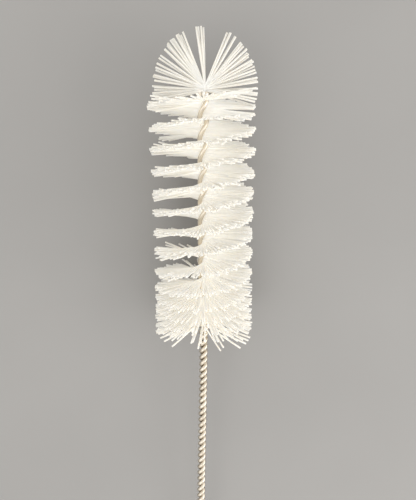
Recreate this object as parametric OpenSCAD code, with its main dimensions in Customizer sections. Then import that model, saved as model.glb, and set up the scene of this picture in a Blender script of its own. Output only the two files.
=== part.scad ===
// Twisted-wire bottle brush with a fan tip and a hanging eye, lying on its side.
// Rows of nylon bristles pass between the two strands of one folded wire, so
// they stand round it as a double screw that tightens towards the handle.
// In the brush's own frame the wire runs along Z, the top of its fold is at
// Z = 0 and the front is -Y. lay_down() turns that frame so that the brush rests
// on its eye and its lowest row, with the floor at Z = 0 and the tip towards +Y.

/* [Bristled head] */
// Diameter over the bristle tips next to the fan
head_d = 18.1; // [16.5:0.1:22]
// Diameter over the bristle tips next to the handle
head_end_d = 16.6; // [15:0.1:20]
// Length from the top of the fold to the root of the last bristle
head_length = 41; // [38:0.1:49]
// Full turns of the wire from the fold to the last bristle
head_turns = 7.49; // [6.9:0.01:8.2]
// Length over which the turns tighten and the bristles start to lean
tightening_length = 14; // [10:0.5:18]
// Lean of the last bristles towards the handle
end_lean = 12; // [0:1:16]
// Distance from one tuft to the next along the wire
tuft_pitch = 0.48; // [0.46:0.01:0.56]
// Bristles across one tuft
tuft_bristles = 6; // [4:1:6]
// Diameter of one bristle
bristle_d = 0.3; // [0.24:0.01:0.32]
// Width of a tuft where the wire pinches it
pinch_w = 0.2; // [0.14:0.01:0.22]

/* [Fan tip] */
// Width of the fan over its tips
fan_w = 17.2; // [14:0.1:20]
// Reach of the fan beyond the fold
fan_reach = 9.5; // [8:0.1:12]
// Bristles in each side of the fan, apart from the one beside the middle
fan_side_bristles = 14; // [8:1:16]
// Angle between the middle of the fan and the nearest bristle of a side
fan_opening = 24; // [14:1:32]
// Angle between the middle of the fan and its lowest bristle
fan_spread = 93; // [86:1:96]
// Lean of the fan's front and back layers towards each other
fan_lean = 2; // [0:0.1:2.2]

/* [Wire] */
// Diameter of the wire
wire_d = 0.75; // [0.6:0.01:0.8]
// Gap between the two strands where they grip the bristles
grip_gap = 0.5; // [0.48:0.01:0.6]
// Gap between the two strands in the bare handle
handle_gap = 0.04; // [0.03:0.01:0.1]
// Length of one full turn of the wire in the handle
handle_pitch = 2.5; // [2.45:0.05:3.2]
// Length over which the strands close up below the bristles
closing_length = 3; // [2:0.5:6]
// Straight length of the two strands between the twist and the fold
fold_straight = 0.4; // [0.4:0.05:1]

/* [Handle and eye] */
// Length over everything, from the fan to the far side of the eye
overall_length = 150; // [120:1:190]
// Diameter of the hanging eye on its centre line
eye_d = 11; // [9:0.5:14]
// Radius of the bend where the handle turns out into the eye
neck_radius = 3; // [2.5:0.5:5]
// Angle left open between the cut end and the line of the handle
eye_mouth = 8; // [6:1:30]

/* [Hidden] */
row_count = 16;
function two_digits(n) = n < 10 ? str("0", n) : str(n);
function row_name(n) = str("bristle_row_", two_digits(n));

// Running clearance between a bristle and the wire beside it
clearance = 0.05;
// Facets of the wire: sides round it and rings in each full turn of the twist
wire_sides = 5;
rings_per_turn = 7;
fold_rings = 4;
// Small step along the stem that gives the direction of a strand
probe = 0.01;
quarter_turn = 90;
// Tufts that would lean less than this stay flat
least_lean = 1;

wire_r = wire_d / 2;
head_r = head_d / 2;
head_end_r = head_end_d / 2;
fan_r = fan_w / 2;
grip_r = wire_r + grip_gap / 2;
handle_r = wire_r + handle_gap / 2;
grip_outer = grip_r + wire_r + clearance;
fold_depth = grip_r + wire_r;
fold_u = fold_depth + fold_straight;
stem_r = handle_r + wire_r;

// ---- Twist of the wire -------------------------------------------------------
// u is the distance along the stem from the top of the fold towards the cut end.
// The twist starts at fold_u. Its rate is steady, rises smoothly over
// tightening_length and then stays at the handle's, so its integral has a closed
// form.
handle_rate = 360 / handle_pitch;
head_twist = 360 * head_turns;
loose_length = head_length - tightening_length;
loose_rate = (head_twist - handle_rate * tightening_length / 2)
    / (head_length - fold_u - tightening_length / 2);

function tightened(u) = min(1, max(0, (u - loose_length) / tightening_length));
function smooth(x) = x * x * (3 - 2 * x);
function smooth_area(x) = x * x * x * (1 - x / 2);
function twist_rate(u) = loose_rate + (handle_rate - loose_rate) * smooth(tightened(u));
function twist(u) =
    let (x = tightened(u), past = max(0, u - head_length))
    loose_rate * (u - fold_u - past) + handle_rate * past
    + (handle_rate - loose_rate) * tightening_length * smooth_area(x);

// ---- Centre line of the stem --------------------------------------------------
// Straight down from the fold, a short bend outwards, then round the eye.
eye_r = eye_d / 2;
eye_drop = sqrt(eye_r * eye_r + 2 * neck_radius * eye_r);
eye_far = overall_length - fan_reach - stem_r;
neck_u = eye_far - eye_drop - eye_r;
neck_angle = acos(neck_radius / (neck_radius + eye_r));
eye_start_angle = quarter_turn - neck_angle;
function arc_length(radius, angle) = radius * angle * PI / 180;
function arc_angle(radius, length) = length / radius * 180 / PI;
eye_u = neck_u + arc_length(neck_radius, neck_angle);
stem_end = eye_u + arc_length(eye_r, 360 - eye_start_angle - eye_mouth);

function neck_turn(u) = arc_angle(neck_radius, u - neck_u);
function eye_turn(u) = eye_start_angle + arc_angle(eye_r, u - eye_u);
function stem_point(u) =
    u < neck_u ? [0, 0, -u]
    : u < eye_u ? [neck_radius * (1 - cos(neck_turn(u))), 0, -neck_u - neck_radius * sin(neck_turn(u))]
    : [eye_r * sin(eye_turn(u)), 0, -neck_u - eye_drop + eye_r * cos(eye_turn(u))];
function stem_side(u) =
    u < neck_u ? [1, 0, 0]
    : u < eye_u ? [cos(neck_turn(u)), 0, sin(neck_turn(u))]
    : [sin(eye_turn(u)), 0, cos(eye_turn(u))];
front = [0, -1, 0];

// ---- Strands --------------------------------------------------------------------
// The fold lies flat across the brush, so one strand leaves it at the right and
// the other, at left_phase, at the left.
left_phase = 2 * quarter_turn;
function strand_offset(u) =
    let (x = (u - head_length - clearance) / closing_length)
    grip_r + (handle_r - grip_r) * smooth(min(1, max(0, x)));
function strand_out(u, phase) =
    cos(twist(u) + phase) * stem_side(u) + sin(twist(u) + phase) * front;
function strand_point(u, phase) = stem_point(u) + strand_offset(u) * strand_out(u, phase);

function unit(v) = v / norm(v);
function ring(centre, along, out) =
    let (e1 = unit(out - (out * along) * along), e2 = cross(along, e1))
    [for (k = [0:wire_sides - 1])
        let (a = 360 * k / wire_sides)
        centre + wire_r * (cos(a) * e1 + sin(a) * e2)];
function strand_ring(u, phase, way) =
    let (ahead = strand_point(u + probe, phase), behind = strand_point(u - probe, phase))
    ring(strand_point(u, phase), way * unit(ahead - behind), strand_out(u, phase));
function fold_ring(a) =
    let (out = [-cos(a), 0, sin(a)])
    ring([0, 0, -fold_depth] + grip_r * out, [sin(a), 0, cos(a)], out);

ring_turn = 360 / rings_per_turn;
first_ring_u = fold_u + ring_turn / loose_rate / 2;
ring_places = [for (u = first_ring_u; u < stem_end - probe; u = u + ring_turn / twist_rate(u)) u];
stem_places = concat(ring_places, [stem_end]);
place_count = len(stem_places);

wire_rings = concat(
    [for (i = [place_count - 1:-1:0]) strand_ring(stem_places[i], left_phase, -1)],
    [for (i = [0:fold_rings]) fold_ring(left_phase * i / fold_rings)],
    [for (i = [0:place_count - 1]) strand_ring(stem_places[i], 0, 1)]);

module swept_tube(rings) {
    sides = len(rings[0]);
    last = len(rings) - 1;
    points = [for (r = rings) each r];
    walls = [for (i = [0:last - 1], k = [0:sides - 1])
        let (a = i * sides + k, b = i * sides + (k + 1) % sides)
        each [[a, a + sides, b + sides], [a, b + sides, b]]];
    start_cap = [for (k = [0:sides - 1]) k];
    end_cap = [for (k = [sides - 1:-1:0]) last * sides + k];
    polyhedron(points, concat([start_cap], walls, [end_cap]));
}

// ---- Outlines of bristles ---------------------------------------------------------
// A finger is [root, direction], as wide as one bristle. The crossing of two
// neighbours' edges is the bottom of the notch between them.
function direction(a) = [cos(a), sin(a)];
function left_of(v) = [-v[1], v[0]];
function flat_cross(a, b) = a[0] * b[1] - a[1] * b[0];
function crossing(p, d, q, e) = p + d * flat_cross(q - p, e) / flat_cross(d, e);
function notch(f, g) =
    let (half = bristle_d / 2)
    crossing(f[0] + half * left_of(f[1]), f[1], g[0] - half * left_of(g[1]), g[1]);
function tip_corners(f, tip) =
    [tip - bristle_d / 2 * left_of(f[1]), tip + bristle_d / 2 * left_of(f[1])];
function comb(fingers, tips) =
    [for (i = [0:len(fingers) - 1])
        each concat(tip_corners(fingers[i], tips[i]),
            i < len(fingers) - 1 ? [notch(fingers[i], fingers[i + 1])] : [])];

// ---- Tufts in rows -------------------------------------------------------------------
// Each tuft lies flat between the strands, square to the line from one to the
// other, and covers the sector that the wire turns through in one tuft_pitch.
// Towards the handle its two sides bend down where they leave the wire.
tuft_count = floor((head_length - fold_u) / tuft_pitch);
function tuft_u(i) = head_length - (tuft_count - i - 0.5) * tuft_pitch;
function tuft_row(i) = 1 + floor(row_count * twist(tuft_u(i)) / head_twist);
function tip_r(u) = head_r + (head_end_r - head_r) * u / head_length;
function lean(u) = let (a = end_lean * tightened(u)) a < least_lean ? 0 : a;

function tuft_side(radius, sector) =
    let (
        step = sector / tuft_bristles,
        root = [grip_outer, 0],
        tips = [for (j = [0:tuft_bristles - 1])
            radius * direction((j - (tuft_bristles - 1) / 2) * step)],
        fingers = [for (tip = tips) [root, unit(tip - root)]])
    concat([root - [0, pinch_w / 2]], comb(fingers, tips), [root + [0, pinch_w / 2]]);

module flat_tuft(radius, sector) {
    side = tuft_side(radius, sector);
    linear_extrude(height = bristle_d, center = true)
        polygon(concat(side, [for (p = side) -p]));
}

module bent_tuft(radius, sector, slope) {
    side = tuft_side(grip_outer + (radius - grip_outer) / cos(slope), sector);
    overlap = [-bristle_d / 2, 0];
    wing = concat([side[0] + overlap], side, [side[len(side) - 1] + overlap]);
    cube([2 * grip_outer, pinch_w, bristle_d], center = true);
    for (turned = [0, 2 * quarter_turn])
        rotate([0, 0, turned])
            translate([grip_outer, 0, 0])
                rotate([0, slope, 0])
                    translate([-grip_outer, 0, 0])
                        linear_extrude(height = bristle_d, center = true)
                            polygon(wing);
}

module tuft(radius, sector, slope) {
    if (slope == 0) flat_tuft(radius, sector);
    else bent_tuft(radius, sector, slope);
}

module bristle_row(n) {
    color([0.96, 0.95, 0.90])
        lay_down()
            for (i = [0:tuft_count - 1])
                if (tuft_row(i) == n)
                    translate([0, 0, -tuft_u(i)])
                        rotate([0, 0, -twist(tuft_u(i)) - quarter_turn])
                            tuft(
                                tip_r(tuft_u(i)),
                                tuft_pitch * twist_rate(tuft_u(i)),
                                lean(tuft_u(i)));
}

// ---- Fan ---------------------------------------------------------------------------------
// One bundle passes through the fold from front to back. Both its halves turn up
// and spread into a flat layer of bristles, one before the fold and one behind
// it. The tips lie on half an ellipse that is level with the top of the fold.
bundle_w = grip_gap - 2 * clearance;
fan_foot_x = bundle_w / 2;
fan_foot_top = 0;
fan_foot_bottom = -0.6 * fold_depth;
fan_layer = wire_r + 2 * clearance + bristle_d / 2;
fan_middle = 3;
fan_angles = concat(
    [for (i = [fan_side_bristles - 1:-1:0])
        fan_opening + (fan_spread - fan_opening) * i / (fan_side_bristles - 1)],
    [fan_middle]);
function fan_foot(a) =
    [fan_foot_x, fan_foot_top + (fan_foot_bottom - fan_foot_top) * a / fan_spread];
function fan_tip(foot, way) =
    let (
        p = [foot[0] / fan_r, foot[1] / fan_reach],
        d = [way[0] / fan_r, way[1] / fan_reach],
        pd = p * d)
    foot + way * (sqrt(pd * pd - d * d * (p * p - 1)) - pd) / (d * d);

module fan_layer_shape() {
    fingers = [for (a = fan_angles) [fan_foot(a), [sin(a), cos(a)]]];
    tips = [for (f = fingers) fan_tip(f[0], f[1])];
    side = concat(
        [[fan_foot_x, -fold_depth - bristle_d / 2], [fan_foot_x, fan_foot_bottom - bristle_d / 2]],
        comb(fingers, tips),
        [[fan_foot_x - bristle_d / 2, fan_foot_top]]);
    mirrored = [for (i = [len(side) - 1:-1:0]) [-side[i][0], side[i][1]]];
    polygon(concat(side, mirrored));
}

module fan_bristles() {
    color([0.96, 0.95, 0.90])
        lay_down() {
            for (way = [-1, 1])
                translate([0, way * fan_layer, -fold_depth])
                    rotate([quarter_turn + way * fan_lean, 0, 0])
                        translate([0, fold_depth, 0])
                            linear_extrude(height = bristle_d, center = true)
                                fan_layer_shape();
            translate([0, 0, -fold_depth])
                cube([bundle_w, 2 * fan_layer, bristle_d], center = true);
        }
}

module twisted_wire() {
    color([0.72, 0.67, 0.58])
        lay_down()
            swept_tube(wire_rings);
}

// ---- Resting place ---------------------------------------------------------------------------
// The floor touches the far side of the eye and the rim of the lowest row.
rim_u = head_length + (head_end_r - grip_outer) * tan(end_lean);
rest_run = eye_far - rim_u;
rest_slope = acos(stem_r / norm([head_end_r, rest_run])) - atan2(rest_run, head_end_r);
rest_height = stem_r + eye_far * sin(rest_slope);
rest_middle = (fan_reach * cos(rest_slope) - eye_far * cos(rest_slope) - stem_r) / 2;

module lay_down() {
    translate([0, -rest_middle, rest_height])
        rotate([rest_slope - quarter_turn, 0, 0])
            children();
}

twisted_wire();
fan_bristles();
for (n = [1:row_count])
    bristle_row(n);
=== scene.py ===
"""Bottle brush with a screw-shaped nylon head, a flat fan tip and a twisted-wire handle.

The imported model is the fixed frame. Every piece is drawn in the brush's own frame, where
the wire runs along Z with its fold at the top and the front is -Y, and is then laid down on
the floor as the frame lies. Sizes are in metres. Angles are in radians, but those of
cowlicks and of the fan's clumps are in degrees.
"""

from __future__ import annotations

import logging
import math
import random
from collections.abc import Callable, Iterator, Mapping, Sequence
from dataclasses import dataclass, field
from enum import Enum

import bmesh
import bpy
from mathutils import Matrix, Vector


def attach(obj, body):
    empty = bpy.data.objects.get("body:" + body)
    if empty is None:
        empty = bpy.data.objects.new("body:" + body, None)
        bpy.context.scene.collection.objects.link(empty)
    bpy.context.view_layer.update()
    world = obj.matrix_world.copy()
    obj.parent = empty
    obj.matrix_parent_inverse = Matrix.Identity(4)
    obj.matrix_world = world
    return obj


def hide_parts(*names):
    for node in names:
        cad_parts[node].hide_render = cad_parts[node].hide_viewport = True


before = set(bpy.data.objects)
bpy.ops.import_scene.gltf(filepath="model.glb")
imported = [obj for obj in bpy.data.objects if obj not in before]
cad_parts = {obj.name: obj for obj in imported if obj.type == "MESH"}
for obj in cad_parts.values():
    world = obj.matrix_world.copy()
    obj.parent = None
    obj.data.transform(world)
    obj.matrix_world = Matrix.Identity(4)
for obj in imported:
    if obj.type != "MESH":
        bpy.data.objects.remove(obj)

Socket = bpy.types.NodeSocket
Colour = tuple[float, float, float]
Span = tuple[float, float]
Inputs = Mapping[str | int, object]

LOG = logging.getLogger("bottle_brush")
MM = 0.001
FULL_TURN = 2 * math.pi
QUARTER_TURN = math.pi / 2
TO_HANDLE = Vector((0, 0, -1))
TO_FRONT = Vector((0, -1, 0))
TO_RIGHT = Vector((1, 0, 0))


class Slot(Enum):
    """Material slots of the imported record."""

    WIRE = "wire"
    NYLON = "nylon"


class Side(Enum):
    """The two sides of a bristle or of the fan, as the sign of its way along X."""

    LEFT = -1
    RIGHT = 1


# ---- Layout ----


@dataclass(frozen=True)
class BrushSizes:
    """Driving sizes of the brush, the same as the frame's."""

    head_diameter: float = 18.1 * MM
    head_end_diameter: float = 16.6 * MM
    head_length: float = 41 * MM
    head_turns: float = 7.49
    tightening_length: float = 14 * MM
    end_lean: float = math.radians(12)
    bristle_diameter: float = 0.3 * MM
    row_count: int = 16
    fan_width: float = 17.2 * MM
    fan_reach: float = 9.5 * MM
    wire_diameter: float = 0.75 * MM
    grip_gap: float = 0.5 * MM
    clearance: float = 0.05 * MM
    handle_gap: float = 0.04 * MM
    handle_pitch: float = 2.5 * MM
    closing_length: float = 3 * MM
    fold_straight: float = 0.4 * MM
    overall_length: float = 150 * MM
    eye_diameter: float = 11 * MM
    neck_radius: float = 3 * MM
    eye_mouth: float = math.radians(8)

    @property
    def wire_r(self) -> float:
        """Radius of the wire."""
        return self.wire_diameter / 2

    @property
    def grip_r(self) -> float:
        """Distance of a strand's centre from the stem's where it grips bristles."""
        return self.wire_r + self.grip_gap / 2

    @property
    def grip_outer(self) -> float:
        """Distance from the stem's centre at which the bristles leave the wire."""
        return self.grip_r + self.wire_r + self.clearance

    @property
    def handle_r(self) -> float:
        """Distance of a strand's centre from the stem's in the handle."""
        return self.wire_r + self.handle_gap / 2

    @property
    def stem_r(self) -> float:
        """Radius over both strands in the handle."""
        return self.handle_r + self.wire_r

    @property
    def fold_depth(self) -> float:
        """Distance of the middle of the fold's arc from its top."""
        return self.grip_r + self.wire_r

    @property
    def fold_u(self) -> float:
        """Place on the stem where the twist starts."""
        return self.fold_depth + self.fold_straight


def smooth(x: float) -> float:
    """Eases from 0 to 1 while x goes from 0 to 1, and holds outside."""
    x = min(1.0, max(0.0, x))
    return x * x * (3 - 2 * x)


class BrushLayout:
    """Where the stem, its strands and the bristles lie.

    A place on the stem is given by u, the distance from the top of the fold towards the cut
    end.
    """

    bow: float = -0.6 * MM
    bow_place: float = 84 * MM
    bow_reach: float = 44 * MM

    def __init__(self, sizes: BrushSizes) -> None:
        """Works out the places that follow from the sizes.

        Args:
            sizes: Driving sizes of the brush.
        """
        self.sizes = s = sizes
        self.handle_rate = FULL_TURN / s.handle_pitch
        self.head_turn = FULL_TURN * s.head_turns
        half = s.tightening_length / 2
        self.loose_length = s.head_length - s.tightening_length
        loose_turn = self.head_turn - self.handle_rate * half
        self.loose_rate = loose_turn / (s.head_length - s.fold_u - half)

        self.eye_r = s.eye_diameter / 2
        self.eye_drop = math.sqrt(self.eye_r**2 + 2 * s.neck_radius * self.eye_r)
        self.eye_far = s.overall_length - s.fan_reach - s.stem_r
        self.neck_u = self.eye_far - self.eye_drop - self.eye_r
        neck_angle = math.acos(s.neck_radius / (s.neck_radius + self.eye_r))
        self.eye_start = QUARTER_TURN - neck_angle
        self.eye_u = self.neck_u + s.neck_radius * neck_angle
        self.stem_end = self.eye_u + self.eye_r * (FULL_TURN - self.eye_start - s.eye_mouth)
        self.lay_down = self._lay_down()

    def _lay_down(self) -> Matrix:
        """Rests the brush on its eye and its lowest row.

        Returns:
            The matrix from the brush's own frame to the floor's.
        """
        s = self.sizes
        rim = s.head_end_diameter / 2
        drop = (rim - s.grip_outer) * math.tan(s.end_lean)
        run = self.eye_far - s.head_length - drop
        slope = math.acos(s.stem_r / math.hypot(rim, run)) - math.atan2(run, rim)
        height = s.stem_r + self.eye_far * math.sin(slope)
        middle = ((s.fan_reach - self.eye_far) * math.cos(slope) - s.stem_r) / 2
        place = Matrix.Translation((0, -middle, height))
        return place @ Matrix.Rotation(slope - QUARTER_TURN, 4, "X")

    def tightened(self, u: float) -> float:
        """Gives how far the turns have tightened at u."""
        return min(1.0, max(0.0, (u - self.loose_length) / self.sizes.tightening_length))

    def rate(self, u: float) -> float:
        """Gives the twist of the wire at u, in radians for each metre."""
        share = smooth(self.tightened(u))
        return self.loose_rate + (self.handle_rate - self.loose_rate) * share

    def turn(self, u: float) -> float:
        """Gives the angle that the wire has turned through from the fold down to u.

        Args:
            u: Place on the stem.

        Returns:
            The angle.
        """
        s = self.sizes
        past = max(0.0, u - s.head_length)
        x = self.tightened(u)
        gained = (self.handle_rate - self.loose_rate) * s.tightening_length * x**3 * (1 - x / 2)
        return self.loose_rate * (u - s.fold_u - past) + self.handle_rate * past + gained

    def strand_turn(self, u: float) -> float:
        """Gives the turn of the strands, which comes in gently next to the fold.

        Args:
            u: Place on the stem.

        Returns:
            The angle.
        """
        ease = self.sizes.fold_straight
        below = u - self.sizes.fold_u
        if below >= ease:
            return self.turn(u)
        return self.loose_rate * (max(below, -ease) + ease) ** 2 / (4 * ease)

    def bristle_angle(self, u: float) -> float:
        """Gives the angle of the bristles at u, which stand square to the strands."""
        return self.turn(u) + QUARTER_TURN

    def stem_point(self, u: float) -> Vector:
        """Gives the point of the stem's centre line at u.

        Args:
            u: Place on the stem, which bends into the hanging eye at its end.

        Returns:
            The point in the brush's own frame.
        """
        s = self.sizes
        if u < self.neck_u:
            away = min(1.0, abs(u - self.bow_place) / self.bow_reach)
            return Vector((self.bow * math.cos(away * QUARTER_TURN) ** 2, 0, -u))
        if u < self.eye_u:
            a = (u - self.neck_u) / s.neck_radius
            x = s.neck_radius * (1 - math.cos(a))
            return Vector((x, 0, -self.neck_u - s.neck_radius * math.sin(a)))
        a = self.eye_start + (u - self.eye_u) / self.eye_r
        z = self.eye_r * math.cos(a) - self.neck_u - self.eye_drop
        return Vector((self.eye_r * math.sin(a), 0, z))

    def stem_side(self, u: float) -> Vector:
        """Gives the way square to the stem, in the plane of the eye.

        Args:
            u: Place on the stem.

        Returns:
            A vector of length one.
        """
        if u < self.neck_u:
            return TO_RIGHT
        if u < self.eye_u:
            a = (u - self.neck_u) / self.sizes.neck_radius
            return Vector((math.cos(a), 0, math.sin(a)))
        a = self.eye_start + (u - self.eye_u) / self.eye_r
        return Vector((math.sin(a), 0, math.cos(a)))

    def around(self, u: float, angle: float) -> Vector:
        """Gives the way square to the stem at u, turned from its side towards the front."""
        return math.cos(angle) * self.stem_side(u) + math.sin(angle) * TO_FRONT

    def strand_point(self, u: float, phase: float) -> Vector:
        """Gives a strand's centre at u.

        Args:
            u: Place on the stem.
            phase: Angle at which the strand leaves the fold.

        Returns:
            The point in the brush's own frame.
        """
        s = self.sizes
        closed = smooth((u - s.head_length) / s.closing_length)
        offset = s.grip_r + (s.handle_r - s.grip_r) * closed
        return self.stem_point(u) + offset * self.around(u, self.strand_turn(u) + phase)

    def lean(self, u: float) -> float:
        """Gives the lean of the bristles at u towards the handle."""
        return self.sizes.end_lean * self.tightened(u)

    def tip_radius(self, u: float) -> float:
        """Gives the distance of the bristle tips from the stem at u.

        Args:
            u: Place on the stem.

        Returns:
            The distance.
        """
        s = self.sizes
        narrowing = (s.head_diameter - s.head_end_diameter) / 2
        return s.head_diameter / 2 - narrowing * u / s.head_length


# ---- Finishes ----


class NodeBench:
    """A new material with its shader, ready for more nodes."""

    def __init__(self, name: str) -> None:
        """Makes the material.

        Args:
            name: Name of the material.
        """
        self.material = bpy.data.materials.new(name)
        self.material.use_nodes = True
        self.tree = self.material.node_tree
        self.shader = self.tree.nodes["Principled BSDF"]

    def fill(self, node: bpy.types.Node, inputs: Inputs) -> None:
        """Sets or links inputs of a node.

        Args:
            node: The node.
            inputs: For each input, its value or the output to which it is linked.
        """
        for key, value in inputs.items():
            if isinstance(value, Socket):
                self.tree.links.new(value, node.inputs[key])
            else:
                node.inputs[key].default_value = value

    def add(
        self, kind: str, output: str, inputs: Inputs | None = None, **settings: object
    ) -> Socket:
        """Adds a node.

        Args:
            kind: Blender's name of the node type.
            output: Name of its output that is used.
            inputs: For each input, its value or the output to which it is linked.
            **settings: Properties of the node.

        Returns:
            The output.
        """
        node = self.tree.nodes.new(kind)
        for key, value in settings.items():
            setattr(node, key, value)
        self.fill(node, inputs or {})
        return node.outputs[output]

    def noise(self, source: Socket, scale: float, detail: float) -> Socket:
        """Gives a noise pattern read at the given coordinates."""
        inputs = {"Vector": source, "Scale": scale, "Detail": detail}
        return self.add("ShaderNodeTexNoise", "Fac", inputs)

    def spread(self, source: Socket, low: float, high: float, within: Span = (0, 1)) -> Socket:
        """Turns a value within a range into one from low to high.

        Args:
            source: The value.
            low: What the start of the range turns into.
            high: What its end turns into.
            within: The range's start and end.

        Returns:
            The new value.
        """
        names = ("Value", "From Min", "From Max", "To Min", "To Max")
        inputs = dict(zip(names, (source, *within, low, high)))
        return self.add("ShaderNodeMapRange", "Result", inputs)

    def combined(self, operation: str, first: Socket, second: Socket) -> Socket:
        """Gives the result of a calculation with two values."""
        return self.add("ShaderNodeMath", "Value", {0: first, 1: second}, operation=operation)

    def ramp(self, source: Socket, places: Sequence[float], colours: Sequence[Colour]) -> Socket:
        """Turns a value into a colour.

        Args:
            source: Value from 0 to 1.
            places: Value at which each colour is reached, from low to high.
            colours: The colours.

        Returns:
            The colour.
        """
        node = self.tree.nodes.new("ShaderNodeValToRGB")
        elements = node.color_ramp.elements
        while len(elements) < len(places):
            elements.new(1)
        for element, place, colour in zip(elements, places, colours):
            element.position = place
            element.color = (*colour, 1)
        self.fill(node, {"Fac": source})
        return node.outputs["Color"]

    def shaded(self, inputs: Inputs) -> bpy.types.Material:
        """Fills the shader's inputs and gives the finished material."""
        self.fill(self.shader, inputs)
        return self.material


@dataclass(frozen=True)
class DrawnSteel:
    """Drawn wire with fine lines along it and a warm tint, and a painted reflection that makes it
    brighter inside the head.
    """

    # brightest streak colour, which the wire also takes inside the head as a painted reflection
    # of the white bristles round it
    streak_and_reflection: Colour = (0.78, 0.71, 0.60)
    bright: Colour = (0.61, 0.55, 0.46)
    dull: Colour = (0.38, 0.32, 0.24)
    # painted reflection: how far the wire is painted brighter inside the head, between these
    # places along the floor
    painted_reflection: float = 0.3
    painted_reflection_within: Span = (23 * MM, 29 * MM)
    roughness: Span = (0.2, 0.42)
    stops: tuple[float, ...] = (0.3, 0.75, 1.0)
    contrast: Span = (0.3, 1.3)
    line_scale: float = 9000
    line_detail: float = 4
    line_stretch: float = 0.02
    line_strength: float = 0.5
    line_depth: float = 0.004 * MM
    patch_scale: float = 260
    patch_detail: float = 3

    def material(self) -> bpy.types.Material:
        """Builds the finish on the attribute "straight", the place on the unbent wire.

        Returns:
            The material.
        """
        bench = NodeBench("drawn_steel")
        place = bench.add("ShaderNodeAttribute", "Vector", attribute_name="straight")
        stretch = {"Vector": place, "Scale": (1, 1, self.line_stretch)}
        along = bench.add("ShaderNodeMapping", "Vector", stretch)
        lines = bench.noise(along, self.line_scale, self.line_detail)
        patches = bench.noise(place, self.patch_scale, self.patch_detail)
        streaks = bench.spread(lines, *self.contrast)
        worn = bench.combined("MULTIPLY", streaks, bench.spread(patches, *self.contrast))
        # painted reflection: brighter inside the head, standing in for the white bristles that
        # the steel mirrors there
        on_floor = bench.add("ShaderNodeTexCoord", "Object")
        along_floor = bench.add("ShaderNodeSeparateXYZ", "Y", {"Vector": on_floor})
        painted_reflection = bench.spread(along_floor, 0, self.painted_reflection, self.painted_reflection_within)
        wear_and_reflection = bench.combined("ADD", worn, painted_reflection)
        relief = {"Height": lines, "Strength": self.line_strength, "Distance": self.line_depth}
        return bench.shaded(
            {
                "Metallic": 1,
                "Base Color": bench.ramp(wear_and_reflection, self.stops, (self.dull, self.bright, self.streak_and_reflection)),
                "Roughness": bench.spread(lines, *self.roughness),
                "Normal": bench.add("ShaderNodeBump", "Normal", relief),
            }
        )


@dataclass(frozen=True)
class MilkyNylon:
    """Milky white nylon filament, semi-gloss, that scatters light inside.

    Its inner light, from root to tip, stands for the light that comes through the many
    filaments round it. Its colour darkens towards the tip as painted shade, which keeps the
    lit tips from outshining their flanks.
    """

    bright: Colour = (0.98, 0.955, 0.895)
    shaded: Colour = (0.96, 0.93, 0.865)
    # painted shade: darker tip colour, so that the tips that catch the lights don't outshine the
    # flanks
    tip: Colour = (0.52, 0.501, 0.457)
    roughness: Span = (0.38, 0.58)
    bright_from: float = 0.6
    gloss: float = 0.25
    refraction: float = 1.53
    grain_scale: float = 2500
    grain_detail: float = 3
    glow: float = 0.8
    glow_depth: float = 0.4 * MM
    glow_colours: Colour = (1.0, 0.9, 0.75)
    inner_light: Span = (0.174, 0.192)

    def material(self) -> bpy.types.Material:
        """Builds the finish on the attributes "tone" and "reach" of the filaments.

        Returns:
            The material.
        """
        bench = NodeBench("milky_nylon")
        tone = bench.add("ShaderNodeAttribute", "Fac", attribute_name="tone")
        reach = bench.add("ShaderNodeAttribute", "Fac", attribute_name="reach")
        body = bench.ramp(tone, (0, self.bright_from), (self.shaded, self.bright))
        # painted shade: the colour darkens from the body towards the tip
        to_painted_tip_shade = {"Factor": reach, "A": body, "B": (*self.tip, 1)}
        place = bench.add("ShaderNodeTexCoord", "Object")
        grain = bench.noise(place, self.grain_scale, self.grain_detail)
        return bench.shaded(
            {
                "Base Color": bench.add("ShaderNodeMix", "Result", to_painted_tip_shade, data_type="RGBA"),
                "Roughness": bench.spread(grain, *self.roughness),
                "IOR": self.refraction,
                "Specular IOR Level": self.gloss,
                "Subsurface Weight": self.glow,
                "Subsurface Radius": self.glow_colours,
                "Subsurface Scale": self.glow_depth,
                "Emission Color": body,
                "Emission Strength": bench.spread(reach, *self.inner_light),
            }
        )


@dataclass(frozen=True)
class PaleGround:
    """Matt pale grey studio floor."""

    colour: Colour = (0.24, 0.232, 0.22)
    roughness: float = 0.85
    mottle: float = 0.02
    mottle_scale: float = 30
    mottle_detail: float = 2
    mottle_within: Span = (0.35, 0.65)

    def material(self) -> bpy.types.Material:
        """Builds the finish.

        Returns:
            The material.
        """
        bench = NodeBench("pale_ground")
        place = bench.add("ShaderNodeTexCoord", "Object")
        mottle = bench.noise(place, self.mottle_scale, self.mottle_detail)
        tints = [tuple(c * (1 + way * self.mottle) for c in self.colour) for way in (-1, 1)]
        colour = bench.ramp(mottle, self.mottle_within, tints)
        return bench.shaded({"Base Color": colour, "Roughness": self.roughness})


# ---- Pieces ----


def add_object(name: str, data: bpy.types.ID) -> bpy.types.Object:
    """Makes an object of the scene.

    Args:
        name: Name of the object.
        data: Its mesh, light or camera.

    Returns:
        The object.
    """
    made = bpy.data.objects.new(name, data)
    bpy.context.scene.collection.objects.link(made)
    return made


def add_mesh(name: str, bm: bmesh.types.BMesh, finish: bpy.types.Material) -> bpy.types.Object:
    """Makes an object of the scene from a mesh.

    Args:
        name: Name of the object.
        bm: The mesh, which is freed.
        finish: Its material.

    Returns:
        The object.
    """
    mesh = bpy.data.meshes.new(name)
    bm.to_mesh(mesh)
    bm.free()
    mesh.materials.append(finish)
    return add_object(name, mesh)


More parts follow.
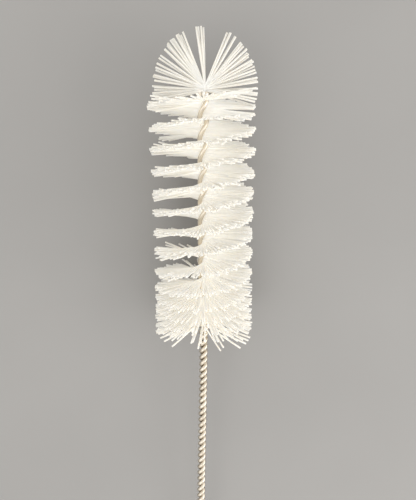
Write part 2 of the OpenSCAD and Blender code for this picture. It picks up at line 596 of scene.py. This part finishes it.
def finish_piece(
    name: str, bm: bmesh.types.BMesh, layout: BrushLayout, finish: bpy.types.Material, slot: Slot
) -> bpy.types.Object:
    """Lays a finished mesh down with the brush and makes it a piece that rides with it.

    Args:
        name: Name of the piece.
        bm: The mesh in the brush's own frame, which is freed.
        layout: Where the brush lies.
        finish: Material of the piece.
        slot: Slot of the record that the finish belongs to, which is not used.

    Returns:
        The piece.
    """
    bmesh.ops.transform(bm, matrix=layout.lay_down, verts=bm.verts)
    bmesh.ops.recalc_face_normals(bm, faces=bm.faces)
    for face in bm.faces:
        face.smooth = True
    piece = add_mesh(name, bm, finish)
    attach(piece, "root")
    LOG.info("%s: %d faces", name, len(piece.data.polygons))
    return piece


class BentTube:
    """A straight round tube, closed at both ends, that is bent along rows of ring places."""

    def __init__(self, radius: float, sides: int, rings: int) -> None:
        """Makes the straight tube, with its rings one unit apart along Z.

        Args:
            radius: Radius of the tube.
            sides: Flat sides round it.
            rings: Rings along it, ends included.
        """
        length = rings - 1
        bm = bmesh.new()
        bmesh.ops.create_cone(
            bm,
            cap_ends=True,
            segments=sides,
            radius1=radius,
            radius2=radius,
            depth=length,
            matrix=Matrix.Translation((0, 0, length / 2)),
        )
        walls = [e for e in bm.edges if abs(e.verts[0].co.z - e.verts[1].co.z) > length / 2]
        bmesh.ops.subdivide_edges(bm, edges=walls, cuts=rings - 2)
        self.mesh = bpy.data.meshes.new("straight_tube")
        bm.to_mesh(self.mesh)
        bm.free()

    def add_to(
        self, bm: bmesh.types.BMesh, places: Sequence[Matrix]
    ) -> Iterator[tuple[bmesh.types.BMVert, int, Vector]]:
        """Adds one bent copy of the tube to a mesh.

        Args:
            bm: The mesh.
            places: Place of every ring, with Z along the tube.

        Yields:
            Every new vertex, its ring's number and its place in the straight ring.
        """
        known = len(bm.verts)
        bm.from_mesh(self.mesh)
        bm.verts.ensure_lookup_table()
        for vert in bm.verts[known:]:
            ring = round(vert.co.z)
            local = Vector((vert.co.x, vert.co.y, 0))
            vert.co = places[ring] @ local
            yield vert, ring, local

    def discard(self) -> None:
        """Removes the straight tube."""
        bpy.data.meshes.remove(self.mesh)


def ring_place(centre: Vector, along: Vector, out: Vector) -> Matrix:
    """Gives the matrix of a ring with Z along the tube and X outwards.

    Args:
        centre: Middle of the ring.
        along: Way of the tube, of any length.
        out: Way that the ring's X axis is turned to as far as it can be.

    Returns:
        The matrix.
    """
    along = along.normalized()
    first = (out - out.dot(along) * along).normalized()
    second = along.cross(first)
    turned = Matrix((first, second, along)).transposed().to_4x4()
    return Matrix.Translation(centre) @ turned


@dataclass
class TwistedWire:
    """The folded wire: two strands twisted into the stem, and the hanging eye."""

    layout: BrushLayout
    finish: bpy.types.Material
    sides: int = 14
    rings_per_turn: int = 22
    fold_rings: int = 16
    longest_step: float = 0.25 * MM
    probe: float = 0.01 * MM
    end_rounding: float = 0.06 * MM
    end_segments: int = 2

    def build(self) -> None:
        """Sweeps the wire from one cut end through the fold to the other."""
        stem_places = list(self._stem_places())
        fold_steps = range(1, self.fold_rings)
        places = [self._strand_ring(u, math.pi, -1) for u in reversed(stem_places)]
        places += [self._fold_ring(math.pi * step / self.fold_rings) for step in fold_steps]
        places += [self._strand_ring(u, 0, 1) for u in stem_places]
        lengths = [0.0]
        for before, here in zip(places, places[1:]):
            lengths.append(lengths[-1] + (here.translation - before.translation).length)
        bm = bmesh.new()
        straight = bm.verts.layers.float_vector.new("straight")
        tube = BentTube(self.layout.sizes.wire_r, self.sides, len(places))
        for vert, ring, local in tube.add_to(bm, places):
            vert[straight] = (local.x, local.y, lengths[ring])
        tube.discard()
        caps = [face for face in bm.faces if len(face.verts) == self.sides]
        bmesh.ops.bevel(
            bm,
            geom=[edge for cap in caps for edge in cap.edges],
            offset=self.end_rounding,
            offset_type="OFFSET",
            segments=self.end_segments,
            profile=0.5,
            affect="EDGES",
            material=-1,
        )
        piece = finish_piece("wire_stem", bm, self.layout, self.finish, Slot.WIRE)
        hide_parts("twisted_wire")

    def _stem_places(self) -> Iterator[float]:
        """Goes along one strand, from the fold to the cut end.

        Yields:
            The place on the stem of every ring.
        """
        layout = self.layout
        u = layout.sizes.fold_depth
        while u < layout.stem_end - self.longest_step / 2:
            yield u
            step = FULL_TURN / self.rings_per_turn / layout.rate(u)
            u += min(step, self.longest_step)
        yield layout.stem_end

    def _strand_ring(self, u: float, phase: float, way: int) -> Matrix:
        """Gives the place of a ring of one strand.

        Args:
            u: Place on the stem.
            phase: Angle at which the strand leaves the fold.
            way: 1 towards the cut end, -1 towards the fold.

        Returns:
            The ring's matrix.
        """
        layout = self.layout
        ahead = layout.strand_point(u + self.probe, phase)
        behind = layout.strand_point(u - self.probe, phase)
        out = layout.around(u, layout.strand_turn(u) + phase)
        return ring_place(layout.strand_point(u, phase), way * (ahead - behind), out)

    def _fold_ring(self, angle: float) -> Matrix:
        """Gives the place of a ring on the fold.

        Args:
            angle: Angle from the fold's left leg.

        Returns:
            The ring's matrix.
        """
        s = self.layout.sizes
        out = Vector((-math.cos(angle), 0, math.sin(angle)))
        along = Vector((math.sin(angle), 0, math.cos(angle)))
        return ring_place(Vector((0, 0, -s.fold_depth)) + s.grip_r * out, along, out)


@dataclass(frozen=True)
class Filament:
    """One nylon bristle, gripped at its middle, as a path from tip to tip.

    The path gives a point for every station from -1 at one tip to 1 at the other.
    """

    path: Callable[[float], Vector]
    up: Vector
    tone: float


@dataclass
class FilamentPress:
    """Draws filaments into a mesh, each bent from the same straight tube."""

    diameter: float
    half_stations: tuple[float, ...] = (0.12, 0.3, 0.55, 0.8, 1)
    sides: int = 6
    open_from: float = 1
    probe: float = 0.01

    def draw(self, filaments: Sequence[Filament]) -> bmesh.types.BMesh:
        """Draws the filaments of one piece.

        Args:
            filaments: The filaments.

        Returns:
            Their mesh, with the attributes "tone" and "reach".
        """
        stations = [*(-x for x in reversed(self.half_stations)), *self.half_stations]
        bm = bmesh.new()
        tone = bm.verts.layers.float.new("tone")
        reach = bm.verts.layers.float.new("reach")
        tube = BentTube(self.diameter / 2, self.sides, len(stations))
        for filament in filaments:
            places = [self._place(filament, station) for station in stations]
            for vert, ring, _ in tube.add_to(bm, places):
                vert[tone] = filament.tone
                # reach runs from 0 at the middle to 1 at open_from and beyond; the nylon's
                # painted tip shade follows it
                vert[reach] = min(1.0, abs(stations[ring]) / self.open_from)
        tube.discard()
        return bm

    def _place(self, filament: Filament, station: float) -> Matrix:
        """Gives the place of a filament's cross-section.

        Args:
            filament: The filament.
            station: Where the section is.

        Returns:
            The section's matrix.
        """
        ahead = filament.path(min(1.0, station + self.probe))
        behind = filament.path(max(-1.0, station - self.probe))
        return ring_place(filament.path(station), ahead - behind, filament.up)


@dataclass(frozen=True)
class Unevenness:
    """How far the bristles stray from a perfect screw."""

    place: float = 0.12 * MM
    angle: float = math.radians(2.2)
    tilt: float = math.radians(1.35)
    neat_share: float = 0.55
    neat_length: float = 14 * MM
    loosest: float = 1.1
    sag: float = math.radians(3)
    sagging_length: float = 3 * MM
    shortening: float = 0.4 * MM
    clump_size: tuple[int, int] = (2, 4)
    clump_lean: float = math.radians(1.1)
    clump_angle: float = math.radians(0.9)
    clump_shortening: float = 0.55 * MM
    flare: float = 0.3 * MM
    bend: float = 0.11 * MM
    stray_share: float = 0.012
    stray_angle: float = math.radians(38)
    stray_turn: Span = (0.5, 1)
    stray_length: float = 0.7
    trim_shift: float = 0.3 * MM
    trim_reach: float = 16 * MM
    crowded_at: float = 0.5

    def crowding(self, layout: BrushLayout, u: float) -> float:
        """Gives how far the bristles at u fill the room between the turns."""
        return smooth(layout.tightened(u) / self.crowded_at)

    def scatter(self, layout: BrushLayout, u: float) -> float:
        """Gives how strongly the bristles stray up and down.

        Args:
            layout: Layout of the brush.
            u: Place on the stem.

        Returns:
            The share of the full unevenness.
        """
        settled = smooth(u / self.neat_length)
        neat = self.neat_share + (1 - self.neat_share) * settled
        return neat + (self.loosest - 1) * self.crowding(layout, u)

    def extra_sag(self, layout: BrushLayout, u: float) -> float:
        """Gives how much more than the others the loosest bristles lean at the end."""
        left = layout.sizes.head_length - u
        return self.sag * smooth(1 - left / self.sagging_length)


@dataclass
class Clump:
    """A few neighbouring bristles on one side of the wire that cling together."""

    unevenness: Unevenness
    bristles_left: int = 0
    lean: float = 0
    angle: float = 0
    shorter: float = 0

    def next_bristle(self, chance: random.Random) -> None:
        """Goes on to the next bristle, and to a new clump where this one is full.

        Args:
            chance: Source of the unevenness.
        """
        uneven = self.unevenness
        if self.bristles_left == 0:
            self.bristles_left = chance.randint(*uneven.clump_size)
            self.lean = chance.gauss(0, uneven.clump_lean)
            self.angle = chance.gauss(0, uneven.clump_angle)
            self.shorter = uneven.clump_shortening * chance.random() ** 2
        self.bristles_left -= 1


@dataclass(frozen=True)
class Cowlick:
    """Neighbouring bristles on one side of the wire that stray together.

    They stand between two turns of the wire, counted from the fold.
    """

    side: Side
    turns: Span
    lean: float = 0
    lean_spread: float = 2
    turned: float = 0
    spread: float = 0
    share: float = 1

    def strays(self, side: Side, turn: float, chance: random.Random) -> tuple[float, float]:
        """Gives how far a bristle strays.

        Args:
            side: Side of the wire on which the bristle stands.
            turn: Turn of the wire at the bristle.
            chance: Source of the unevenness.

        Returns:
            The added lean and the added angle round the wire.
        """
        first, last = self.turns
        if side is not self.side or not first <= math.degrees(turn) <= last:
            return 0, 0
        if chance.random() > self.share:
            return 0, 0
        lean = chance.gauss(self.lean, self.lean_spread)
        return math.radians(lean), math.radians(chance.gauss(self.turned, self.spread))


@dataclass(frozen=True)
class Drape:
    """How the upper bristles of the tight turns hang towards the handle and part sideways.

    The hanging stops towards the cut end of the head, where the parting is strongest.
    """

    droop: float = math.radians(20)
    droop_stop: float = 4 * MM
    parting: float = 0.3
    end_parting: float = 1.3
    end_length: float = 1 * MM
    end_blend: float = 2 * MM

    def hang(self, layout: BrushLayout, u: float, out: Vector) -> tuple[Vector, float]:
        """Gives the way in which a bristle stands out after parting, and its droop.

        Args:
            layout: Layout of the brush.
            u: Place of the bristle on the stem.
            out: Direction in which it would stand out from the wire.

        Returns:
            The parted direction and the added lean towards the handle.
        """
        upward = layout.tightened(u) * max(0.0, out.dot(TO_FRONT))
        to_end = layout.sizes.head_length - u
        ending = 1 - smooth((to_end - self.end_length) / self.end_blend)
        aside = out.x * upward * (self.parting + self.end_parting * ending)
        droop = self.droop * upward**2 * min(1.0, to_end / self.droop_stop)
        return (out + Vector((aside, 0, 0))).normalized(), droop


@dataclass(frozen=True)
class Filling:
    """How many bristles stand in each millimetre of the wire."""

    loose: float = 36
    tight: float = 32
    last: float = 11
    last_length: float = 1.6 * MM

    def at(self, layout: BrushLayout, u: float) -> float:
        """Gives how densely the bristles stand at a place on the stem.

        Args:
            layout: Layout of the brush.
            u: Place on the stem.

        Returns:
            The bristles in each metre of the wire.
        """
        if u > layout.sizes.head_length - self.last_length:
            return self.last / MM
        return (self.loose + (self.tight - self.loose) * smooth(layout.tightened(u))) / MM


@dataclass
class BristleHead:
    """The screw-shaped head: filaments gripped at their middles between the strands."""

    layout: BrushLayout
    finish: bpy.types.Material
    filling: Filling = field(default_factory=Filling)
    unevenness: Unevenness = field(default_factory=Unevenness)
    drape: Drape = field(default_factory=Drape)
    cowlicks: tuple[Cowlick, ...] = (
        Cowlick(Side.RIGHT, (0, 12), lean=-6, turned=-62, spread=8),
        Cowlick(Side.RIGHT, (12, 24), lean=-5, turned=-42, spread=8),
        Cowlick(Side.RIGHT, (24, 36), lean=-3.5, turned=-22, spread=8),
        Cowlick(Side.RIGHT, (36, 86), lean=-4, share=0.6),
        Cowlick(Side.RIGHT, (52, 72), lean=9, share=0.3),
        Cowlick(Side.LEFT, (97, 140), lean=7, lean_spread=0),
        Cowlick(Side.LEFT, (298, 316), lean=9, lean_spread=1, share=0.5),
        Cowlick(Side.RIGHT, (462, 490), lean=-8, lean_spread=2.5, share=0.35),
        Cowlick(Side.LEFT, (600, 655), lean=1.5, lean_spread=1.5),
        Cowlick(Side.RIGHT, (770, 850), lean=3.5, lean_spread=2.5, share=0.7),
        Cowlick(Side.LEFT, (1290, 1384), lean_spread=3.2),
        Cowlick(Side.LEFT, (1385, 1430), lean=-7.5, share=0.3),
        Cowlick(Side.RIGHT, (1572, 1618), lean=-9, share=0.45),
    )
    root_share: float = 0.12
    seed: int = 11

    def build(self) -> None:
        """Draws the filaments of each row as one piece in place of the row's node."""
        layout, s = self.layout, self.layout.sizes
        chance = random.Random(self.seed)
        clumps = {side: Clump(self.unevenness) for side in Side}
        rows: dict[int, list[Filament]] = {row: [] for row in range(1, s.row_count + 1)}
        u = s.fold_u
        while u < s.head_length:
            row = 1 + int(s.row_count * layout.turn(u) / layout.head_turn)
            rows[min(row, s.row_count)].append(self._filament(u, clumps, chance))
            u += 1 / self.filling.at(layout, u)
        press = FilamentPress(s.bristle_diameter)
        for row, filaments in rows.items():
            name = f"bristles_{row:02d}"
            piece = finish_piece(name, press.draw(filaments), layout, self.finish, Slot.NYLON)
            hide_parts(f"bristle_row_{row:02d}")

    def _filament(self, u: float, clumps: dict[Side, Clump], chance: random.Random) -> Filament:
        """Makes one through-going filament.

        Args:
            u: Place on the stem.
            clumps: The clumps to which its halves belong.
            chance: Source of its unevenness.

        Returns:
            The filament.
        """
        layout, s = self.layout, self.layout.sizes
        here = layout.stem_point(u + chance.uniform(-1, 1) * self.unevenness.place)
        room = s.grip_gap / 2 - s.bristle_diameter / 2
        across = layout.around(u, layout.bristle_angle(u) + QUARTER_TURN)
        centre = here + across * chance.uniform(-room, room)
        stray = chance.random() < self.unevenness.stray_share
        halves = {side: self._half(u, side, clumps[side], stray, chance) for side in Side}

        def path(station: float) -> Vector:
            """Gives the filament's centre.

            Args:
                station: Place on the filament.

            Returns:
                The point in the brush's own frame.
            """
            root, tip, bend = halves[Side.LEFT if station < 0 else Side.RIGHT]
            share = abs(station)
            if share < self.root_share:
                return centre + root * share / self.root_share
            t = (share - self.root_share) / (1 - self.root_share)
            return centre + root.lerp(tip, t) + bend * t * t

        return Filament(path, TO_HANDLE, chance.random())

    def _half(
        self, u: float, side: Side, clump: Clump, stray: bool, chance: random.Random
    ) -> tuple[Vector, Vector, Vector]:
        """Places one half of a filament.

        Args:
            u: Place on the stem.
            side: Side of the wire on which the half stands.
            clump: The clump to which it belongs.
            stray: Whether its filament stands apart.
            chance: Source of its unevenness.

        Returns:
            Its root and its tip, seen from the filament's middle, and the bend of its tip.
        """
        layout, uneven = self.layout, self.unevenness
        together = 1 - uneven.crowding(layout, u)
        clump.next_bristle(chance)
        angle = layout.bristle_angle(u) + clump.angle * together + chance.gauss(0, uneven.angle)
        radius = layout.tip_radius(u) - clump.shorter * together
        radius -= uneven.shortening * chance.random() ** 2
        if stray:
            turned = uneven.stray_angle * chance.choice((-1, 1))
            angle += turned * chance.uniform(*uneven.stray_turn)
            radius *= uneven.stray_length
        scatter = uneven.scatter(layout, u)
        lean = layout.lean(u) + uneven.extra_sag(layout, u) * chance.random()
        lean += (clump.lean * together + chance.gauss(0, uneven.tilt)) * scatter
        for cowlick in self.cowlicks:
            more_lean, more_angle = cowlick.strays(side, layout.turn(u), chance)
            lean += more_lean
            angle += more_angle
        out, droop = self.drape.hang(layout, u, side.value * layout.around(u, angle))
        lean += droop
        trim = uneven.trim_shift * (1 - smooth(u / uneven.trim_reach))
        radius += uneven.flare * layout.tightened(u) * abs(out.x) - trim * out.x
        bend = out.cross(TO_HANDLE) * chance.gauss(0, uneven.bend)
        bend += TO_HANDLE * chance.gauss(0, uneven.bend) * scatter
        way = out * math.cos(lean) + TO_HANDLE * math.sin(lean)
        grip = layout.sizes.grip_outer
        root = out * grip
        tip = root + way * (radius - grip) / math.cos(layout.lean(u) + droop)
        return root, tip, bend


@dataclass
class FanTip:
    """The flat fan: a bundle drawn through the fold and turned up before and behind it.

    A clump is given by its angle from the middle and its number of half filaments.
    """

    layout: BrushLayout
    finish: bpy.types.Material
    left_clumps: tuple[tuple[float, int], ...] = (
        (104, 2), (100, 2), (96, 2), (91.5, 2), (87, 2), (79, 1), (75.6, 2), (69.8, 1), (66.2, 1),
        (63, 2), (57, 1), (53.2, 1), (49, 1), (45.6, 1), (41, 3), (35.4, 3), (31, 2),
        (26, 4), (8.2, 3), (2.2, 2),
    )
    right_clumps: tuple[tuple[float, int], ...] = (
        (24.6, 3), (30.4, 1), (34.1, 1), (41.6, 4), (47, 2), (51.6, 2), (55.6, 1), (59.5, 2),
        (65, 2), (68.5, 1), (73.4, 1), (77.5, 1), (82, 2), (88.5, 1), (92.5, 1), (95.6, 1),
        (98.6, 1), (102, 2), (107, 1),
    )
    clump_step: float = math.radians(1.8)
    unevenness: float = math.radians(0.3)
    lowest: float = math.radians(107)
    shift: float = 0.3 * MM
    foot_top: float = 0.45 * MM
    foot_drop: float = 0.9 * MM
    foot_share: float = 0.4
    bend_length: float = 0.3 * MM
    bundle_half_width: float = 0.1 * MM
    bundle_depths: Span = (-0.4, 0.5)
    layer_offset: float = 0.62 * MM
    layer_spread: Span = (0.95, 1.25)
    tip_offset: float = 0.2 * MM
    tip_spread: Span = (-0.5, 1.5)
    turned_share: float = 0.12
    stations: tuple[float, ...] = (0.02, 0.05, 0.08, turned_share, 0.3, 0.6, 1)
    # painted shade: from this share of each half on, the fan's filaments take the nylon's darker
    # tip colour, as they lie open to the lights
    open_from: float = 0.18
    shortening: float = 0.4 * MM
    bend: float = 0.15 * MM
    fullness: float = 1.15
    seed: int = 5

    def build(self) -> None:
        """Draws the fan as one piece in place of its node."""
        chance = random.Random(self.seed)
        ways = sorted(self._ways(chance))
        filaments = [
            self._filament(front, back, chance) for front, back in zip(ways[::2], ways[1::2])
        ]
        diameter = self.layout.sizes.bristle_diameter * self.fullness
        bm = FilamentPress(diameter, self.stations, open_from=self.open_from).draw(filaments)
        piece = finish_piece("fan_tip", bm, self.layout, self.finish, Slot.NYLON)
        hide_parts("fan_bristles")

    def _ways(self, chance: random.Random) -> Iterator[float]:
        """Spreads the half filaments, clump by clump.

        Args:
            chance: Source of the unevenness.

        Yields:
            Each half's angle from the middle of the fan, to the right.
        """
        for side, clumps in ((Side.LEFT, self.left_clumps), (Side.RIGHT, self.right_clumps)):
            for angle, count in clumps:
                middle = side.value * math.radians(angle)
                for i in range(count):
                    step = (i - (count - 1) / 2) * self.clump_step
                    yield middle + step + chance.uniform(-1, 1) * self.unevenness

    def _filament(self, front: float, back: float, chance: random.Random) -> Filament:
        """Makes one filament of the bundle.

        Args:
            front: Angle of its front half from the middle of the fan, to the right.
            back: Angle of its back half.
            chance: Source of its unevenness.

        Returns:
            The filament.
        """
        s = self.layout.sizes
        place = chance.uniform(-1, 1) * self.bundle_half_width
        depth = s.fold_depth + chance.uniform(*self.bundle_depths) * s.grip_gap
        middle = Vector((place, 0, -depth))
        front_half = self._half(middle, front, -1, chance)
        back_half = self._half(middle, back, 1, chance)

        def path(station: float) -> Vector:
            """Gives the filament's centre at a station of the press."""
            return front_half(-station) if station < 0 else back_half(station)

        return Filament(path, TO_RIGHT, chance.random())

    def _half(
        self, middle: Vector, angle: float, layer: int, chance: random.Random
    ) -> Callable[[float], Vector]:
        """Makes one half of a filament, from the fold to a tip.

        Args:
            middle: Where the filament passes through the fold.
            angle: Angle of the half from the middle of the fan, to the right.
            layer: -1 before the fold, 1 behind it.
            chance: Source of its unevenness.

        Returns:
            The half's centre for each share of the way to the tip.
        """
        s = self.layout.sizes
        way = Vector((math.sin(angle), 0, math.cos(angle)))
        low = abs(angle) / self.lowest
        offset = layer * self.layer_offset * chance.uniform(*self.layer_spread)
        aside = self.shift + way.x * s.grip_gap * self.foot_share
        foot = Vector((aside, 0, self.foot_top - self.foot_drop * low))
        length = self._rim_distance(foot, way) - self.shortening * chance.random() ** 2
        tip = foot + way * length
        tip.y = layer * self.tip_offset * chance.uniform(*self.tip_spread)
        foot.y = offset
        out_of_fold = Vector((middle.x, offset, middle.z))
        up_to_foot = foot - way * self.bend_length
        turned = [middle, out_of_fold, up_to_foot, foot]
        bend = Vector((way.z, 0, -way.x)) * chance.gauss(0, self.bend)

        def centre(share: float) -> Vector:
            """Gives the half's centre.

            Args:
                share: Share of the way from the fold to the tip.

            Returns:
                The point in the brush's own frame.
            """
            if share < self.turned_share:
                points, t = turned, share / self.turned_share
                while len(points) > 1:
                    points = [a.lerp(b, t) for a, b in zip(points, points[1:])]
                return points[0]
            t = (share - self.turned_share) / (1 - self.turned_share)
            return foot.lerp(tip, t) + bend * t * t

        return centre

    def _rim_distance(self, root: Vector, way: Vector) -> float:
        """Gives the distance from a point to the ellipse that the tips lie on.

        Args:
            root: The point.
            way: Way in which the ellipse is looked for, of length one.

        Returns:
            The distance.
        """
        s = self.layout.sizes
        half_w, half_h = s.fan_width / 2, s.fan_reach
        p = Vector(((root.x - self.shift) / half_w, root.z / half_h))
        d = Vector((way.x / half_w, way.z / half_h))
        pd, dd = p.dot(d), d.dot(d)
        return (math.sqrt(pd * pd - dd * (p.dot(p) - 1)) - pd) / dd


# ---- Studio ----


@dataclass(frozen=True)
class Softbox:
    """A square soft light that points at a place."""

    name: str
    place: tuple[float, float, float]
    width: float
    power: float
    colour: Colour = (1, 1, 1)

    def build(self, target: Vector) -> None:
        """Hangs the light and points it.

        Args:
            target: Point that it lights.
        """
        light = bpy.data.lights.new(self.name, "AREA")
        light.size = self.width
        light.energy = self.power
        light.color = self.colour
        lamp = add_object(self.name, light)
        lamp.location = self.place
        lamp.rotation_mode = "QUATERNION"
        lamp.rotation_quaternion = (target - lamp.location).to_track_quat("-Z", "Y")


@dataclass
class Studio:
    """Pale floor, soft light and the camera over the brush."""

    layout: BrushLayout
    floor_width: float = 3.0
    floor_drop: float = 0.02 * MM
    ambient: float = 1.34
    softboxes: tuple[Softbox, ...] = (
        Softbox("top_softbox", (0, 0, 0.6), 0.6, 0.4),
        Softbox("key_softbox", (-0.28, -0.2, 0.5), 0.3, 0.6, (1.0, 0.98, 0.95)),
        Softbox("fill_softbox", (0.26, -0.05, 0.11), 0.3, 0.62, (0.99, 0.99, 1.0)),
    )
    focal_length: float = 41
    camera_distance: float = 98.8 * MM
    camera_lean: float = math.radians(13.8)
    aimed_u: float = 27.1 * MM
    side_step: float = 0.78 * MM
    nearest: float = 1 * MM
    farthest: float = 10

    @property
    def aim(self) -> Vector:
        """Point on the stem at which the lights and the camera look."""
        return self.layout.lay_down @ self.layout.stem_point(self.aimed_u)

    def build(self) -> None:
        """Lays the floor, lights it and sets the camera."""
        self._floor()
        self._lights()
        self._camera()

    def _floor(self) -> None:
        """Lays the floor just under the brush."""
        bm = bmesh.new()
        bmesh.ops.create_grid(bm, x_segments=1, y_segments=1, size=self.floor_width / 2)
        bmesh.ops.translate(bm, verts=bm.verts, vec=(0, 0, -self.floor_drop))
        floor = add_mesh("floor", bm, PaleGround().material())

    def _lights(self) -> None:
        """Sets the room's light and the softboxes."""
        scene = bpy.context.scene
        scene.world = bpy.data.worlds.new("studio")
        scene.world.use_nodes = True
        background = scene.world.node_tree.nodes["Background"]
        background.inputs["Color"].default_value = (1, 1, 1, 1)
        background.inputs["Strength"].default_value = self.ambient
        scene.view_settings.view_transform = "Standard"
        for softbox in self.softboxes:
            softbox.build(self.aim)

    def _camera(self) -> None:
        """Sets the camera over the head, leaning towards the tip."""
        turned = self.layout.lay_down.to_3x3()
        lean = self.camera_lean
        back = turned @ Vector((0, -math.cos(lean), math.sin(lean)))
        right = turned @ TO_RIGHT
        up = back.cross(right)
        place = self.aim + back * self.camera_distance + right * self.side_step
        data = bpy.data.cameras.new("camera")
        data.lens = self.focal_length
        data.clip_start = self.nearest
        data.clip_end = self.farthest
        camera = add_object("camera", data)
        view = Matrix((right, up, back)).transposed().to_4x4()
        camera.matrix_world = Matrix.Translation(place) @ view
        bpy.context.scene.camera = camera


def main() -> None:
    """Builds the brush and its studio."""
    logging.basicConfig(level=logging.INFO, format="%(message)s")
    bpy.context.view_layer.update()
    layout = BrushLayout(BrushSizes())
    Studio(layout).build()
    TwistedWire(layout, DrawnSteel().material()).build()
    nylon = MilkyNylon().material()
    BristleHead(layout, nylon).build()
    FanTip(layout, nylon).build()


if __name__ == "__main__":
    main()
